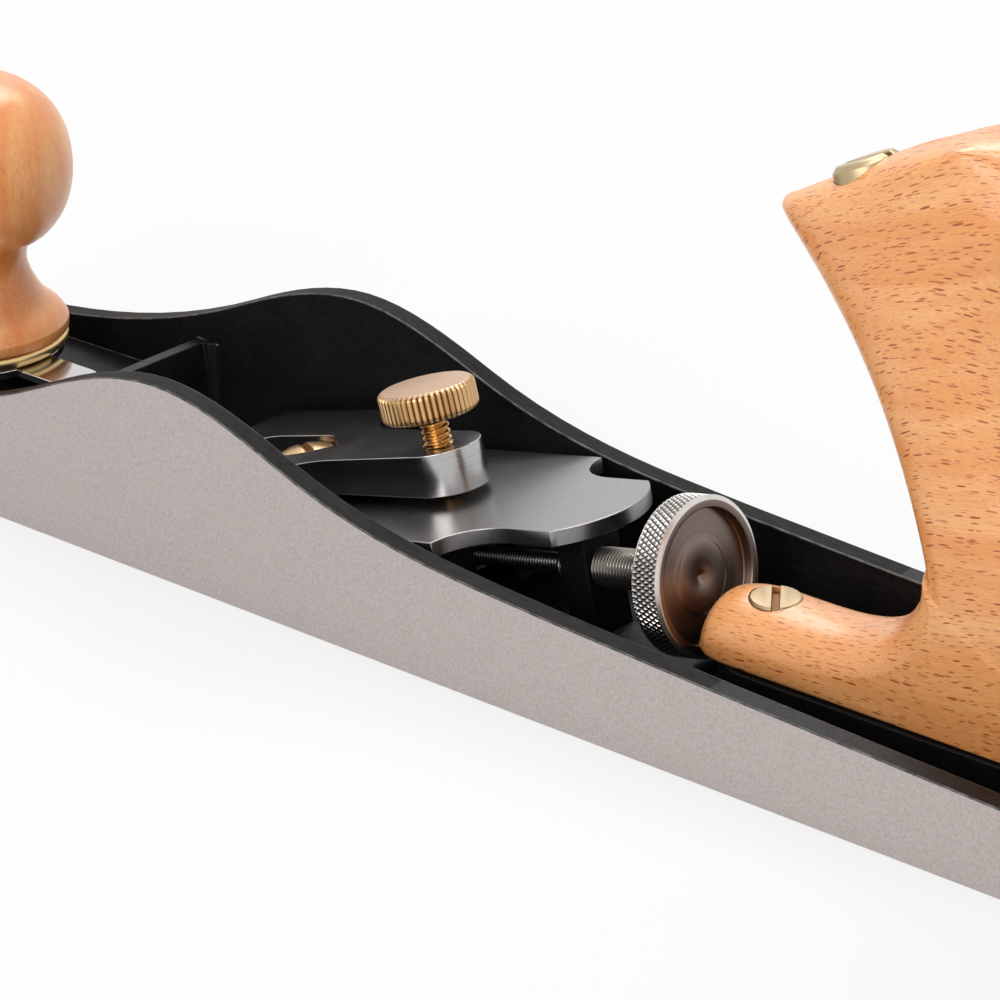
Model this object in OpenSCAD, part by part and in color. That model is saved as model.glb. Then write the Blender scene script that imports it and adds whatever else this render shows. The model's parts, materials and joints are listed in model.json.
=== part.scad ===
// Low-angle jack plane: a cast body with ground sides, a bevel-up blade,
// a screw adjuster behind it, and a front knob that clamps a sliding mouth plate.
// X runs from toe to heel, Y across the body, Z up from the ground sole.

/* [Body] */
// Length of the sole from toe to heel
body_len = 355; // [345:1:380]
// Width over the ground sides
body_w = 63; // [61:0.5:70]
// Thickness of the sole
sole_t = 4.5; // [3.5:0.1:4.8]
// Thickness of the side walls
wall_t = 4.5; // [3.5:0.1:4.8]
// How far the toe and the heel bulge out in plan
end_bulge = 8; // [5:0.5:12]
// Wall height at the toe
toe_h = 16; // [14:0.5:18]
// Wall height at the top of the hump
hump_h = 42; // [38:0.5:48]
// Wall height at the end of the hump, beside the adjuster
waist_h = 22.9; // [20:0.5:26]
// Wall height at the heel
heel_h = 15.5; // [13:0.5:18]
// Distance of the hump's top in front of mid-length
hump_forward = 47.5; // [42:0.5:53]
// Height of the front deck above the sole
deck_h = 12; // [10:0.5:13]
// Height of the pad that carries the mouth lever and the knob
pad_h = 17.2; // [15:0.2:19]
// Radius of that pad
pad_r = 16.5; // [16:0.1:17.5]
// Height of the cross wall in front of the mouth
cross_wall_h = 22; // [18:0.5:24]
// Thickness of the cross wall
cross_wall_t = 4; // [3:0.5:5]
// Radius of the corners between the cross wall and the sides
corner_r = 3; // [2:0.5:4]

/* [Mouth] */
// Distance of the blade's bed edge in front of mid-length
mouth_forward = 84; // [82:0.5:88]
// Opening between the cutting edge and the mouth plate
mouth_gap = 1.7; // [1.4:0.1:2.5]
// Length of the sliding mouth plate in front of the knob's axis
plate_nose = 22; // [20:0.5:24]
// Gap between the mouth plate's sides and the inside of the walls
plate_land = 1; // [0.5:0.1:1.5]
// Thickness of the sliding mouth plate
plate_t = 5.6; // [5:0.1:6]
// How far the mouth plate can slide forward
plate_open = 4; // [2:0.5:4]
// How far the mouth plate can slide back
plate_close = 0.8; // [0.4:0.1:0.8]
// Thickness of the mouth lever
lever_t = 1.8; // [1.5:0.1:2]
// Radius of the mouth lever's round plate
lever_r = 19; // [18:0.5:19.5]
// Gap between the tip of the mouth lever's tongue and the cross wall
tongue_gap = 5.1; // [4:0.1:12]
// Width of the mouth lever's tongue
tongue_w = 10.2; // [8:0.2:11]
// Distance from the knob's axis to the lever's fixed pin
cam_pin_at = 12; // [11:0.5:12.5]
// Radius of the lever's fixed pin
cam_pin_r = 1.5; // [1.2:0.1:1.6]
// Lever turn for each millimetre of plate travel, in degrees
cam_rate = 9; // [7:0.5:9]

/* [Blade] */
// Angle of the blade's bed above the sole
bed_angle = 12; // [11:0.25:12.5]
// Gap between the blade's sides and the inside of the walls
blade_side_gap = 1.55; // [1.4:0.05:3]
// Thickness of the blade
blade_t = 3.2; // [2.8:0.1:3.6]
// Length of the blade from cutting edge to the top of its tail
blade_len = 132.5; // [129:0.5:136]
// Length of the blade's tail behind its square shoulders
tail_len = 27.1; // [25:0.1:29]
// Radius of the blade's round tail
tail_r = 19.8; // [18:0.2:22]
// Radius of the scooped corners beside the tail
scoop_r = 10.6; // [9:0.1:12]
// Angle of the bevel above the blade's flat face
bevel_angle = 25; // [23:1:35]
// How far the edge is drawn back from the sole
blade_set = 0.3; // [0.2:0.1:0.6]
// Half width of the blade's slot for the cap screw
blade_slot_r = 4.2; // [3.6:0.1:5]

/* [Lever cap] */
// Distance from cutting edge to the thumb screw's axis
thumb_at = 87.3; // [85:0.5:90]
// Height of the cap's top over the bed at the thumb screw
cap_top = 13.4; // [12:0.1:14.5]
// Slope of the cap's top above the blade
cap_pitch = 3.5; // [2.5:0.25:4]
// Gap between the cap's underside and the blade
cap_gap = 1.8; // [1.2:0.1:2.2]
// Distance from cutting edge to the cap's front lip
cap_front_at = 9; // [8:0.5:11]
// How far the cap's sides lie inside the blade's
cap_inset = 1.95; // [1:0.05:3.5]
// Radius of the cap's round rear end
cap_end_r = 7.8; // [7.6:0.1:9]
// Half width of the cap's neck at its flare
neck_half_w = 10; // [9.4:0.1:10.6]
// Radius of the scoops where the neck flares
flare_r = 12; // [11:0.2:13]
// Distance from cutting edge to the cap screw
cap_screw_at = 49.9; // [48:0.2:51]
// Radius of the cap screw's head
cap_screw_head_r = 6; // [5.4:0.1:6.2]
// Height of the cap screw's domed head
cap_screw_head_h = 3.2; // [2.6:0.1:3.4]
// Radius of the cap screw's shank
cap_screw_r = 3; // [2.6:0.1:3.2]
// Thickness of the cap under the cap screw's head
cap_web = 2.8; // [2.4:0.1:3]
// How far the cap slides back to come off its screw
cap_release = 13; // [12:0.5:13]

/* [Thumb screw] */
// Radius of the thumb screw's knurled head
thumb_r = 9.7; // [9:0.1:10.5]
// Thickness of the thumb screw's head
thumb_head_t = 6.1; // [4.5:0.1:6.4]
// Height of the head's top over the cap
thumb_top = 12.1; // [11.6:0.1:13]
// Radius of the thumb screw's thread
thumb_thread_r = 3; // [2.5:0.1:3.4]
// Pitch of the thumb screw's thread
thumb_pitch = 1.2; // [0.8:0.1:1.4]

/* [Adjuster] */
// Distance from the blade's tail to the wheel's rear face, along the bed
wheel_behind = 17.4; // [16:0.1:18]
// Depth of the adjuster's axis below the blade
adjuster_drop = 9.06; // [8.9:0.02:9.3]
// Radius of the adjuster wheel over its knurl
wheel_r = 15.3; // [14:0.1:15.5]
// Thickness of the adjuster wheel
wheel_t = 6.4; // [6:0.1:7.5]
// Width of the rim round the wheel's recessed face
wheel_rim = 1.8; // [1.4:0.1:3.5]
// Depth of the wheel's recessed face
wheel_recess = 2; // [0.8:0.1:2.2]
// Radius of the thick thread that runs in the casting's lug
shank_r = 4; // [3.6:0.1:4]
// Pitch of the thick thread
shank_pitch = 0.75; // [0.7:0.05:1]
// Radius of the thin thread that drives the traveller
rod_r = 2; // [1.8:0.1:2.2]
// Pitch of the thin thread
rod_pitch = 0.7; // [0.6:0.05:0.8]
// Distance from the wheel's rear face to the lug's rear face
lug_back = 25; // [24:0.5:27]
// Thickness of the lug along the adjuster
lug_t = 6.6; // [6:0.2:8]
// Width of the lug
lug_w = 10.4; // [10.2:0.2:13]
// Distance from cutting edge to the end of the bed's ramp
ramp_end_at = 97; // [95:0.5:99]
// Length of the traveller along the adjuster
traveller_len = 10; // [8:0.5:11]
// Width of the traveller
traveller_w = 11; // [10:0.5:13]
// Distance from cutting edge to the middle of the traveller
traveller_at = 87.5; // [86:0.5:88]
// Radius of the traveller's driving pin
drive_pin_r = 2.5; // [2:0.1:3]

/* [Front knob] */
// Distance from the toe of the sole to the knob's axis
knob_from_toe = 41.8; // [40:0.1:44]
// Radius of the knob's foot
knob_foot_r = 20.4; // [19:0.1:21]
// Height of the brass ring under the knob
ring_h = 3.4; // [2.8:0.1:4]
// Radius of the knob's waist
knob_waist_r = 12.3; // [11.5:0.1:13.5]
// Radius of the knob's round grip
knob_grip_r = 23.6; // [22:0.1:25]
// Height of the wooden knob
knob_h = 57; // [54:0.5:60]
// Radius of the knob's threaded stud
stud_r = 4; // [3.5:0.1:4]
// Radius of the threaded insert in the knob
insert_r = 6.5; // [6:0.1:7]

/* [Tote] */
// Thickness of the handle
tote_t = 23; // [21:0.5:24]
// Height of the platform that carries the handle
platform_h = 12.2; // [11.6:0.1:14]
// Distance from the middle of the wheel's rear face to the handle's toe
tote_gap = 3.1; // [2.9:0.1:5.5]
// Distance from the heel of the sole to the handle's heel
heel_gap = 9.5; // [9:0.5:11.5]
// Height of the handle above its platform
tote_h = 107.3; // [100:0.1:110]
// Radius of the handle's rounded edges
tote_round = 5; // [3:0.5:5.5]
// Radius of the handle's rod
tote_rod_r = 3; // [2.6:0.1:3.2]
// Radius of the nut at the top of the rod
tote_nut_r = 6; // [5.4:0.1:6.4]
// Distance from the handle's toe to the toe screw
toe_screw_in = 12; // [11.4:0.2:12.8]
// Radius of the toe screw's head
toe_screw_head_r = 5.05; // [4.6:0.05:5.4]
// Radius of the toe screw's shank
toe_screw_r = 2.5; // [2.2:0.1:2.8]

/* [Fits] */
// Radial clearance of a shaft that turns in its hole
turn_gap = 0.05; // [0.03:0.01:0.08]
// Clearance between flat faces that slide
slide_gap = 0.1; // [0.08:0.01:0.15]
// Clearance of a fixed piece in its seat
seat_gap = 0.02; // [0.01:0.01:0.05]

/* [Hidden] */
$fn = 64;
big = 400;
eps = 0.01;

// Body
half_len = body_len / 2;
half_w = body_w / 2;
inner_half_w = half_w - wall_t;
end_r = (half_w * half_w + end_bulge * end_bulge) / (2 * end_bulge);
bury = 1;
toe_run = 38;
flank_run = 32.5;
waist_run = 82;
wall_keys = [[-half_len, toe_h, 0], [-half_len + toe_run, toe_h + 1.4, 0.11],
             [-hump_forward - flank_run, (toe_h + hump_h) / 2 + 4.2, 0.45],
             [-hump_forward, hump_h, 0],
             [-hump_forward + flank_run, (waist_h + hump_h) / 2 + 0.95, -0.41],
             [-hump_forward + waist_run, waist_h, -0.075], [half_len, heel_h, -0.05]];

// Mouth
edge_x = -mouth_forward;
knob_x = knob_from_toe - half_len;
plate_w = 2 * (inner_half_w - plate_land);
plate_back = edge_x - mouth_gap;
plate_front = knob_x - plate_nose;
cross_wall_lead = 6.6;
cross_wall_back = edge_x - cross_wall_lead;
cross_wall_front = cross_wall_back - cross_wall_t;
tongue_reach = cross_wall_front - knob_x - tongue_gap;
blade_slack = 0.3;
stud_slack = 0.3;
cam_slack = 0.2;
lever_z = pad_h + slide_gap;
ring_z = lever_z + lever_t + slide_gap;
knob_z = ring_z + ring_h + seat_gap;
stud_foot = 1;
stud_pitch = 1.25;
cam_pin_sink = 3;

// Blade
blade_w = 2 * (inner_half_w - blade_side_gap);
shoulder_at = blade_len - tail_len;

// Cap
cap_w = blade_w - 2 * cap_inset;
cap_bottom = blade_t + slide_gap + cap_gap;
lip_z = blade_t + slide_gap;
head_seat = cap_bottom + cap_web;
hole_r = cap_screw_head_r + 0.3;
keyhole_at = cap_screw_at - cap_release;
teardrop_tip = 9.6;
screw_slack = 0.2;
slot_w = 1.5;
slot_depth = 1.5;
slot_ahead = 14;
slot_behind = 10;

// Adjuster
wheel_at = blade_len + wheel_behind;
wheel_x = edge_x + wheel_at * cos(bed_angle) + adjuster_drop * sin(bed_angle);
shank_len = 34;
thread_depth = 0.35;
pin_bite = 2;
pin_sink = 3;
spigot_r = shank_r - 1;
spigot_end = -wheel_recess - 1.4;
lug_rise = 1.5;

// Knob and handle
insert_len = 0.6 * knob_h;
stud_reach = 0.55 * knob_h;
tote_toe = wheel_x + tote_gap;
tote_heel = half_len - heel_gap;
tote_len = tote_heel - tote_toe;
toe_screw_at = tote_toe + toe_screw_in;
rod_top = on_tote(0.279, 0.92);
rod_base = on_tote(0.7313, 0);
rod_lean = atan((rod_base[0] - rod_top[0]) / (rod_top[1] - rod_base[1]));
rod_len = norm(rod_top - rod_base);
thread_bite = 8;
nut_sink = 9;
nut_web = 3.2;
rod_slack = 0.2;
toe_top = 0.1025;
toe_seat = 2.6;
rod_room = 0.3;
head_room = 0.1;
toe_head_z = on_tote(0, toe_top)[1] - toe_seat;
toe_slot_turn = 125;
throat_depth = 7.5;
back_depth = 28;
front_flat = 0.12;
back_flat = 0.45;
section_steps = 4;

// Points on a smooth curve between two keys, each [x, height, slope]
function between(a, b, n) = [for (i = [0 : n - 1])
    let (t = i / n, w = b[0] - a[0],
         h0 = 2 * t * t * t - 3 * t * t + 1, h1 = t * t * t - 2 * t * t + t,
         h2 = 3 * t * t - 2 * t * t * t, h3 = t * t * t - t * t)
    [a[0] + w * t, h0 * a[1] + h1 * w * a[2] + h2 * b[1] + h3 * w * b[2]]];
function through(keys, n) = [for (i = [0 : len(keys) - 2])
    for (p = between(keys[i], keys[i + 1], n)) p];

// Points on a cubic curve with four control points
function bezier(a, b, c, d, n) = [for (i = [0 : n])
    let (t = i / n, s = 1 - t)
    s * s * s * a + 3 * s * s * t * b + 3 * s * t * t * c + t * t * t * d];

// Moves to the bed: X runs up the bed from its edge, Z stands off it
module on_bed() translate([edge_x, 0, 0]) rotate([0, -bed_angle, 0]) children();
// Moves to the adjuster: Z runs back along its axis from the wheel's rear face
module on_adjuster() on_bed() translate([wheel_at, 0, -adjuster_drop]) rotate([0, 90, 0]) children();
// Moves to the cap: Z stands on its top face at the thumb screw
module on_cap() on_bed() translate([thumb_at, 0, cap_top]) rotate([0, -cap_pitch, 0]) children();
// Moves to the handle's rod: Z runs up along it from the platform
module on_rod() translate([rod_base[0], 0, platform_h]) rotate([0, -rod_lean, 0]) children();

// A block centred on Y
module slab(x0, x1, w, z0, z1) translate([x0, -w / 2, z0]) cube([x1 - x0, w, z1 - z0]);

// A slot with round ends along X
module slot(x0, x1, r, z0, z1) {
    slab(x0, x1, 2 * r, z0, z1);
    for (x = [x0, x1]) translate([x, 0, z0]) cylinder(r = r, h = z1 - z0);
}

// A thread drawn as grooves round a rod, from z0 to z1
module thread(r, pitch, z0, z1) {
    turns = floor((z1 - z0) / pitch);
    rise = (z1 - z0) / turns;
    root = r - thread_depth;
    rotate_extrude() polygon(concat([[0, z0], [root, z0]],
        [for (i = [0 : turns - 1])
            for (p = [[r, z0 + (i + 0.5) * rise], [root, z0 + (i + 1) * rise]]) p],
        [[0, z1]]));
}

// The body's outline in plan, drawn in by a wall thickness
module plan(inset) {
    r = end_r - inset;
    w = half_w - inset;
    run = half_len - end_r + sqrt(r * r - w * w);
    square([2 * run, 2 * w], center = true);
    for (s = [-1, 1]) intersection() {
        translate([s * (half_len - end_r), 0]) circle(r = r, $fn = 128);
        translate([s * half_len, 0]) square([half_len, 2 * w], center = true);
    }
}

module walls() {
    intersection() {
        difference() {
            linear_extrude(hump_h + 1) plan(0);
            translate([0, 0, sole_t]) linear_extrude(hump_h) plan(wall_t);
        }
        rotate([90, 0, 0]) linear_extrude(body_w + 2, center = true)
            polygon(concat([[-half_len - 1, -1], [-half_len - 1, toe_h]], through(wall_keys, 8),
                [[half_len + 1, heel_h], [half_len + 1, -1]]));
    }
}

module front_deck() {
    intersection() {
        linear_extrude(deck_h) plan(bury);
        slab(-half_len, cross_wall_back, body_w, 0, deck_h);
    }
    translate([knob_x, 0, deck_h - bury]) cylinder(r = pad_r, h = pad_h - deck_h + bury);
    slab(cross_wall_front, cross_wall_back, 2 * inner_half_w + bury, deck_h - bury, cross_wall_h);
    for (s = [-1, 1]) translate([cross_wall_back, s * inner_half_w, sole_t]) difference() {
        translate([-1, -corner_r, 0]) cube([corner_r + 1, 2 * corner_r, cross_wall_h - sole_t]);
        translate([corner_r, -s * corner_r, -1]) cylinder(r = corner_r, h = cross_wall_h);
    }
}

module bed_ramp() {
    intersection() {
        slab(edge_x - 1, half_len, 2 * inner_half_w + bury, 0, hump_h);
        on_bed() slab(0, ramp_end_at, body_w, -big / 8, 0);
    }
}

module lug() {
    intersection() {
        on_bed() slab(wheel_at - lug_back - lug_t, wheel_at - lug_back, lug_w, -big / 8, -lug_rise);
        slab(0, half_len, body_w, 1, hump_h);
    }
}

module platform() {
    ledge = 0.8;
    nose = tote_toe + 2 + ledge + tote_t / 2;
    slab(nose, tote_heel, tote_t + 2 * ledge, sole_t - bury, platform_h);
    translate([nose, 0, sole_t - bury])
        cylinder(r = tote_t / 2 + ledge, h = platform_h - sole_t + bury);
}

module plane_body() {
    color([0.16, 0.16, 0.17]) difference() {
        union() {
            walls();
            front_deck();
            bed_ramp();
            lug();
            platform();
        }
        // Opening in the sole for the mouth plate and its travel
        slab(plate_front - plate_open - 1, edge_x + eps, plate_w + 2 * slide_gap,
            -1, plate_t + slide_gap);
        // Room for the blade above its bed
        on_bed() slab(-3, blade_len / 2, blade_w + 2 * blade_slack, 0, hump_h);
        // Slot in the pad for the knob's stud
        slot(knob_x - plate_open, knob_x + plate_close, stud_r + stud_slack, plate_t, pad_h + 1);
        // Hole for the mouth lever's pin
        translate([knob_x - cam_pin_at, 0, deck_h - cam_pin_sink])
            cylinder(r = cam_pin_r + seat_gap, h = pad_h);
        // Hole in the bed for the cap screw
        on_bed() translate([cap_screw_at, 0, -thread_bite])
            cylinder(r = cap_screw_r + seat_gap, h = big / 8);
        // Channel in the ramp for the traveller and the thin thread
        intersection() {
            on_bed() slab(traveller_at - traveller_len / 2 - 4, ramp_end_at + 1,
                traveller_w + 2 * slide_gap, -hump_h, 1);
            slab(-half_len, half_len, body_w, sole_t, hump_h);
        }
        // Threaded hole in the lug
        on_adjuster() translate([0, 0, -lug_back - 2 * lug_t])
            cylinder(r = shank_r + turn_gap, h = 3 * lug_t);
        // Holes in the platform for the toe screw and the rod
        translate([toe_screw_at, 0, platform_h - thread_bite])
            cylinder(r = toe_screw_r + seat_gap, h = big / 8);
        on_rod() translate([0, 0, -thread_bite]) cylinder(r = tote_rod_r + seat_gap, h = big / 8);
    }
}

module toe_plate() {
    color([0.62, 0.6, 0.58]) difference() {
        slab(plate_front, plate_back, plate_w, 0, plate_t);
        translate([knob_x, 0, stud_foot]) cylinder(r = stud_r + seat_gap, h = plate_t);
    }
}

module knob_stud() {
    top = knob_z + stud_reach;
    color([0.55, 0.55, 0.55]) translate([knob_x, 0, 0]) {
        translate([0, 0, stud_foot + seat_gap]) cylinder(r = stud_r, h = ring_z - stud_foot);
        thread(stud_r, stud_pitch, ring_z, top);
    }
}

module cam_pin() {
    color([0.6, 0.6, 0.6]) translate([knob_x - cam_pin_at, 0, deck_h - cam_pin_sink + seat_gap])
        cylinder(r = cam_pin_r, h = ring_z - slide_gap - deck_h + cam_pin_sink);
}

module mouth_lever() {
    color([0.75, 0.75, 0.76]) translate([knob_x, 0, lever_z]) difference() {
        union() {
            cylinder(r = lever_r, h = lever_t);
            slab(0, tongue_reach - tongue_w / 2, tongue_w, 0, lever_t);
            translate([tongue_reach - tongue_w / 2, 0, 0]) cylinder(r = tongue_w / 2, h = lever_t);
        }
        translate([0, 0, -1]) cylinder(r = stud_r + turn_gap, h = lever_t + 2);
        cam_slot();
    }
}

// The pin's place in the lever when the plate has slid forward by s: nearer the axis as the lever turns
function cam_point(s) = (cam_pin_at - s) * [cos(180 - cam_rate * s), sin(180 - cam_rate * s)];
// Direction of that path at s, in degrees
function cam_heading(s) = let (d = cam_point(s + eps) - cam_point(s - eps)) atan2(d[1], d[0]);
// A point at the slot's edge, at an angle from the path
function cam_edge(s, turn) = let (a = cam_heading(s) + turn)
    cam_point(s) + (cam_pin_r + cam_slack) * [cos(a), sin(a)];

// The lever's curved slot for its pin, with round ends
module cam_slot() {
    steps = 5;
    travel = [for (i = [0 : steps]) -plate_close + (plate_open + plate_close) * i / steps];
    translate([0, 0, -1]) linear_extrude(lever_t + 2) polygon(concat(
        [for (s = travel) cam_edge(s, 90)], [for (a = [72 : -18 : -72]) cam_edge(plate_open, a)],
        [for (i = [steps : -1 : 0]) cam_edge(travel[i], -90)],
        [for (a = [-108 : -18 : -252]) cam_edge(-plate_close, a)]));
}

module knob_ring() {
    bulge = 0.35;
    color([0.83, 0.67, 0.36]) translate([knob_x, 0, ring_z]) difference() {
        rotate_extrude() polygon(concat([[0, 0], [knob_foot_r - 0.9, 0]],
            [for (a = [-60 : 20 : 60]) [knob_foot_r - 0.35 + bulge * cos(a) - bulge / 2,
                ring_h / 2 + ring_h / 2 * 0.86 * sin(a)]],
            [[knob_foot_r - 0.6, ring_h], [0, ring_h]]));
        translate([0, 0, -1]) cylinder(r = stud_r + turn_gap, h = ring_h + 2);
    }
}

module front_knob() {
    foot = 2.3;
    waist_z = 16.2;
    grip_z = 37;
    flare = bezier([knob_foot_r - 0.7, foot + 1.6], [knob_foot_r - 4, foot + 3],
        [knob_waist_r + 1.6, waist_z - 7], [knob_waist_r, waist_z], 8);
    under = bezier([knob_waist_r + 0.2, waist_z + 2.6], [knob_waist_r + 5, waist_z + 5],
        [knob_grip_r, grip_z - 9], [knob_grip_r, grip_z], 8);
    crown = bezier([knob_grip_r, grip_z], [knob_grip_r, grip_z + 12],
        [knob_grip_r * 0.55, knob_h], [0, knob_h], 12);
    color([0.87, 0.62, 0.4]) translate([knob_x, 0, knob_z]) difference() {
        rotate_extrude($fn = 96) polygon(concat([[0, 0], [knob_foot_r, 0], [knob_foot_r + 0.1, foot]],
            flare, under, crown));
        translate([0, 0, -1]) cylinder(r = insert_r + seat_gap, h = insert_len + 1);
    }
}

module knob_insert() {
    color([0.8, 0.66, 0.38]) translate([knob_x, 0, knob_z]) difference() {
        cylinder(r = insert_r, h = insert_len - seat_gap);
        translate([0, 0, -1]) cylinder(r = stud_r + turn_gap, h = stud_reach + 2);
    }
}

module blade_plan() {
    tail_at = blade_len - tail_r;
    scoop_at = shoulder_at + scoop_r;
    tail_half_w = blade_w / 2 - scoop_r;
    difference() {
        translate([0, -blade_w / 2]) square([scoop_at, blade_w]);
        for (s = [-1, 1]) translate([scoop_at, s * blade_w / 2]) circle(r = scoop_r);
    }
    intersection() {
        translate([tail_at, 0]) circle(r = tail_r, $fn = 128);
        translate([tail_at, -tail_half_w]) square([tail_r, 2 * tail_half_w]);
    }
}

module blade() {
    bevel_run = blade_t / tan(bevel_angle);
    color([0.72, 0.72, 0.73]) on_bed() translate([blade_set, 0, slide_gap]) difference() {
        linear_extrude(blade_t) blade_plan();
        rotate([90, 0, 0]) linear_extrude(body_w, center = true)
            polygon([[-1, -1], [-eps, -1], [0, 0], [bevel_run, blade_t],
                [bevel_run, blade_t + 1], [-1, blade_t + 1]]);
        // Slot and keyhole for the cap screw
        slot(cap_screw_at - slot_ahead, cap_screw_at + slot_behind, blade_slot_r, -1, blade_t + 1);
        translate([cap_screw_at - slot_ahead, 0, -1]) cylinder(r = hole_r, h = blade_t + 2);
        // Blind socket for the driving pin
        translate([traveller_at, 0, -1]) cylinder(r = drive_pin_r + seat_gap, h = pin_bite + 1);
    }
}

module traveller() {
    color([0.5, 0.5, 0.5]) difference() {
        on_bed() translate([blade_set, 0, 0]) difference() {
            slab(traveller_at - traveller_len / 2, traveller_at + traveller_len / 2, traveller_w,
                -adjuster_drop - rod_r - 1, -slide_gap);
            translate([traveller_at, 0, -pin_sink]) cylinder(r = drive_pin_r + seat_gap, h = pin_sink + 1);
        }
        on_adjuster() translate([0, 0, -wheel_at]) cylinder(r = rod_r + turn_gap, h = wheel_at);
    }
}

module drive_pin() {
    color([0.6, 0.6, 0.6]) on_bed() translate([traveller_at + blade_set, 0, -pin_sink + seat_gap])
        cylinder(r = drive_pin_r, h = pin_sink + slide_gap + pin_bite - 3 * seat_gap);
}

module slotted(r) translate([-r - 1, -slot_w / 2, -slot_depth]) cube([2 * r + 2, slot_w, slot_depth + 1]);

module cap_screw() {
    seat = head_seat + slide_gap;
    dome_r = (pow(cap_screw_head_r, 2) + pow(cap_screw_head_h / 2, 2)) / cap_screw_head_h;
    color([0.83, 0.67, 0.36]) on_bed() translate([cap_screw_at, 0, 0]) {
        translate([0, 0, -thread_bite + seat_gap]) cylinder(r = cap_screw_r, h = thread_bite + seat);
        difference() {
            intersection() {
                translate([0, 0, seat]) cylinder(r = cap_screw_head_r, h = cap_screw_head_h);
                translate([0, 0, seat + cap_screw_head_h - dome_r]) sphere(r = dome_r, $fn = 96);
            }
            translate([0, 0, seat + cap_screw_head_h]) rotate([0, 0, -30]) slotted(cap_screw_head_r);
        }
    }
}

module cap_plan() {
    flare_at = -20.5;
    front = thumb_at - cap_front_at + 2;
    shoulder = flare_r + neck_half_w;
    circle(r = cap_end_r);
    polygon([[0, cap_end_r], [flare_at - 1, neck_half_w], [flare_at - 1, -neck_half_w], [0, -cap_end_r]]);
    difference() {
        translate([-front, -cap_w / 2]) square([front + flare_at, cap_w]);
        for (s = [-1, 1]) translate([flare_at, s * shoulder]) circle(r = flare_r);
    }
}

module lever_cap() {
    nose = cap_front_at;
    back = thumb_at + cap_end_r + 2;
    rise = tan(cap_pitch);
    top = function(x) cap_top - (thumb_at - x) * rise;
    color([0.6, 0.6, 0.61]) difference() {
        intersection() {
            on_cap() translate([0, 0, -big / 8]) linear_extrude(big / 8) cap_plan();
            on_bed() rotate([90, 0, 0]) linear_extrude(body_w, center = true)
                polygon([[nose, lip_z], [nose + 4, lip_z], [nose + 6, cap_bottom], [back, cap_bottom],
                    [back, top(back) + 1], [nose + 12, top(nose + 12)], [nose, lip_z + 1.8]]);
        }
        on_bed() {
            // Pocket for the screw's head, with its narrow run-out, and the keyhole under it
            slot(keyhole_at, cap_screw_at, hole_r, head_seat, cap_top + 2);
            translate([cap_screw_at, 0, head_seat]) linear_extrude(cap_top) teardrop();
            translate([keyhole_at, 0, 0]) cylinder(r = hole_r, h = cap_top);
            slot(keyhole_at, cap_screw_at, cap_screw_r + screw_slack, 0, cap_top);
        }
        on_cap() translate([0, 0, -cap_top]) cylinder(r = thumb_thread_r + turn_gap, h = cap_top + 1);
    }
}

// The pointed end of the cap's pocket, tangent to the screw head's clearance
module teardrop() {
    a = acos(hole_r / teardrop_tip);
    polygon([[0, 0], hole_r * [cos(a), sin(a)], [teardrop_tip, 0], hole_r * [cos(a), -sin(a)]]);
}

module thumb_screw() {
    tip_r = thumb_thread_r - 0.7;
    tip = cap_top - blade_t - slide_gap;
    neck = thumb_top - thumb_head_t;
    edge = 0.5;
    color([0.85, 0.68, 0.4]) on_cap() {
        rotate_extrude() polygon([[0, neck], [thumb_r - edge, neck], [thumb_r, neck + edge],
            [thumb_r, thumb_top - edge], [thumb_r - edge, thumb_top], [0, thumb_top]]);
        thread(thumb_thread_r, thumb_pitch, -tip + 3, neck + eps);
        rotate_extrude() polygon([[0, -tip + 0.15], [tip_r - 0.8, -tip + 0.2], [tip_r, -tip + 0.8],
            [tip_r, -tip + 3 + eps], [0, -tip + 3 + eps]]);
    }
}

module adjuster_screw() {
    color([0.5, 0.48, 0.46]) on_adjuster() {
        thread(shank_r, shank_pitch, -shank_len, -wheel_t - slide_gap);
        translate([0, 0, -wheel_t - slide_gap - eps])
            cylinder(r = spigot_r, h = wheel_t + slide_gap + eps + spigot_end);
        thread(rod_r, rod_pitch, -(wheel_at - traveller_at) - traveller_len / 2 - 1.5, -shank_len + eps);
    }
}

module adjuster_wheel() {
    recess_r = wheel_r - 0.4 - wheel_rim;
    step_r = recess_r * 0.64;
    edge = 0.6;
    color([0.6, 0.56, 0.53]) on_adjuster() difference() {
        rotate_extrude() polygon([[0, -wheel_t], [wheel_r - edge, -wheel_t], [wheel_r, -wheel_t + edge],
            [wheel_r, -edge], [wheel_r - edge, 0], [recess_r, 0], [recess_r - 0.4, -wheel_recess],
            [step_r, -wheel_recess], [step_r - 1.5, -wheel_recess + 0.35], [1.2, -wheel_recess + 0.2],
            [0, -wheel_recess - 0.8]]);
        translate([0, 0, -wheel_t - 1])
            cylinder(r = spigot_r + turn_gap, h = wheel_t + 1 + spigot_end + slide_gap);
    }
}

// A point of the handle's side view, as parts of its length from the toe and of its height
function on_tote(x, z) = [tote_toe + x * tote_len, platform_h + z * tote_h];

// The handle's front edge from its toe over the throat and the grip to the crown
function tote_front() = concat(
    bezier(on_tote(0, 0.04), on_tote(0, 0.086), on_tote(0.026, 0.1035), on_tote(0.1125, toe_top), 5),
    bezier(on_tote(0.199, 0.099), on_tote(0.378, 0.087), on_tote(0.468, 0.168), on_tote(0.461, 0.268), 7),
    bezier(on_tote(0.46, 0.301), on_tote(0.396, 0.478), on_tote(0.297, 0.646), on_tote(0.133, 0.791), 7),
    bezier(on_tote(0.125, 0.802), on_tote(0.115, 0.813), on_tote(0.124, 0.821), on_tote(0.157, 0.835), 3),
    bezier(on_tote(0.199, 0.857), on_tote(0.299, 0.901), on_tote(0.398, 0.972), on_tote(0.518, 1), 4));
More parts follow.
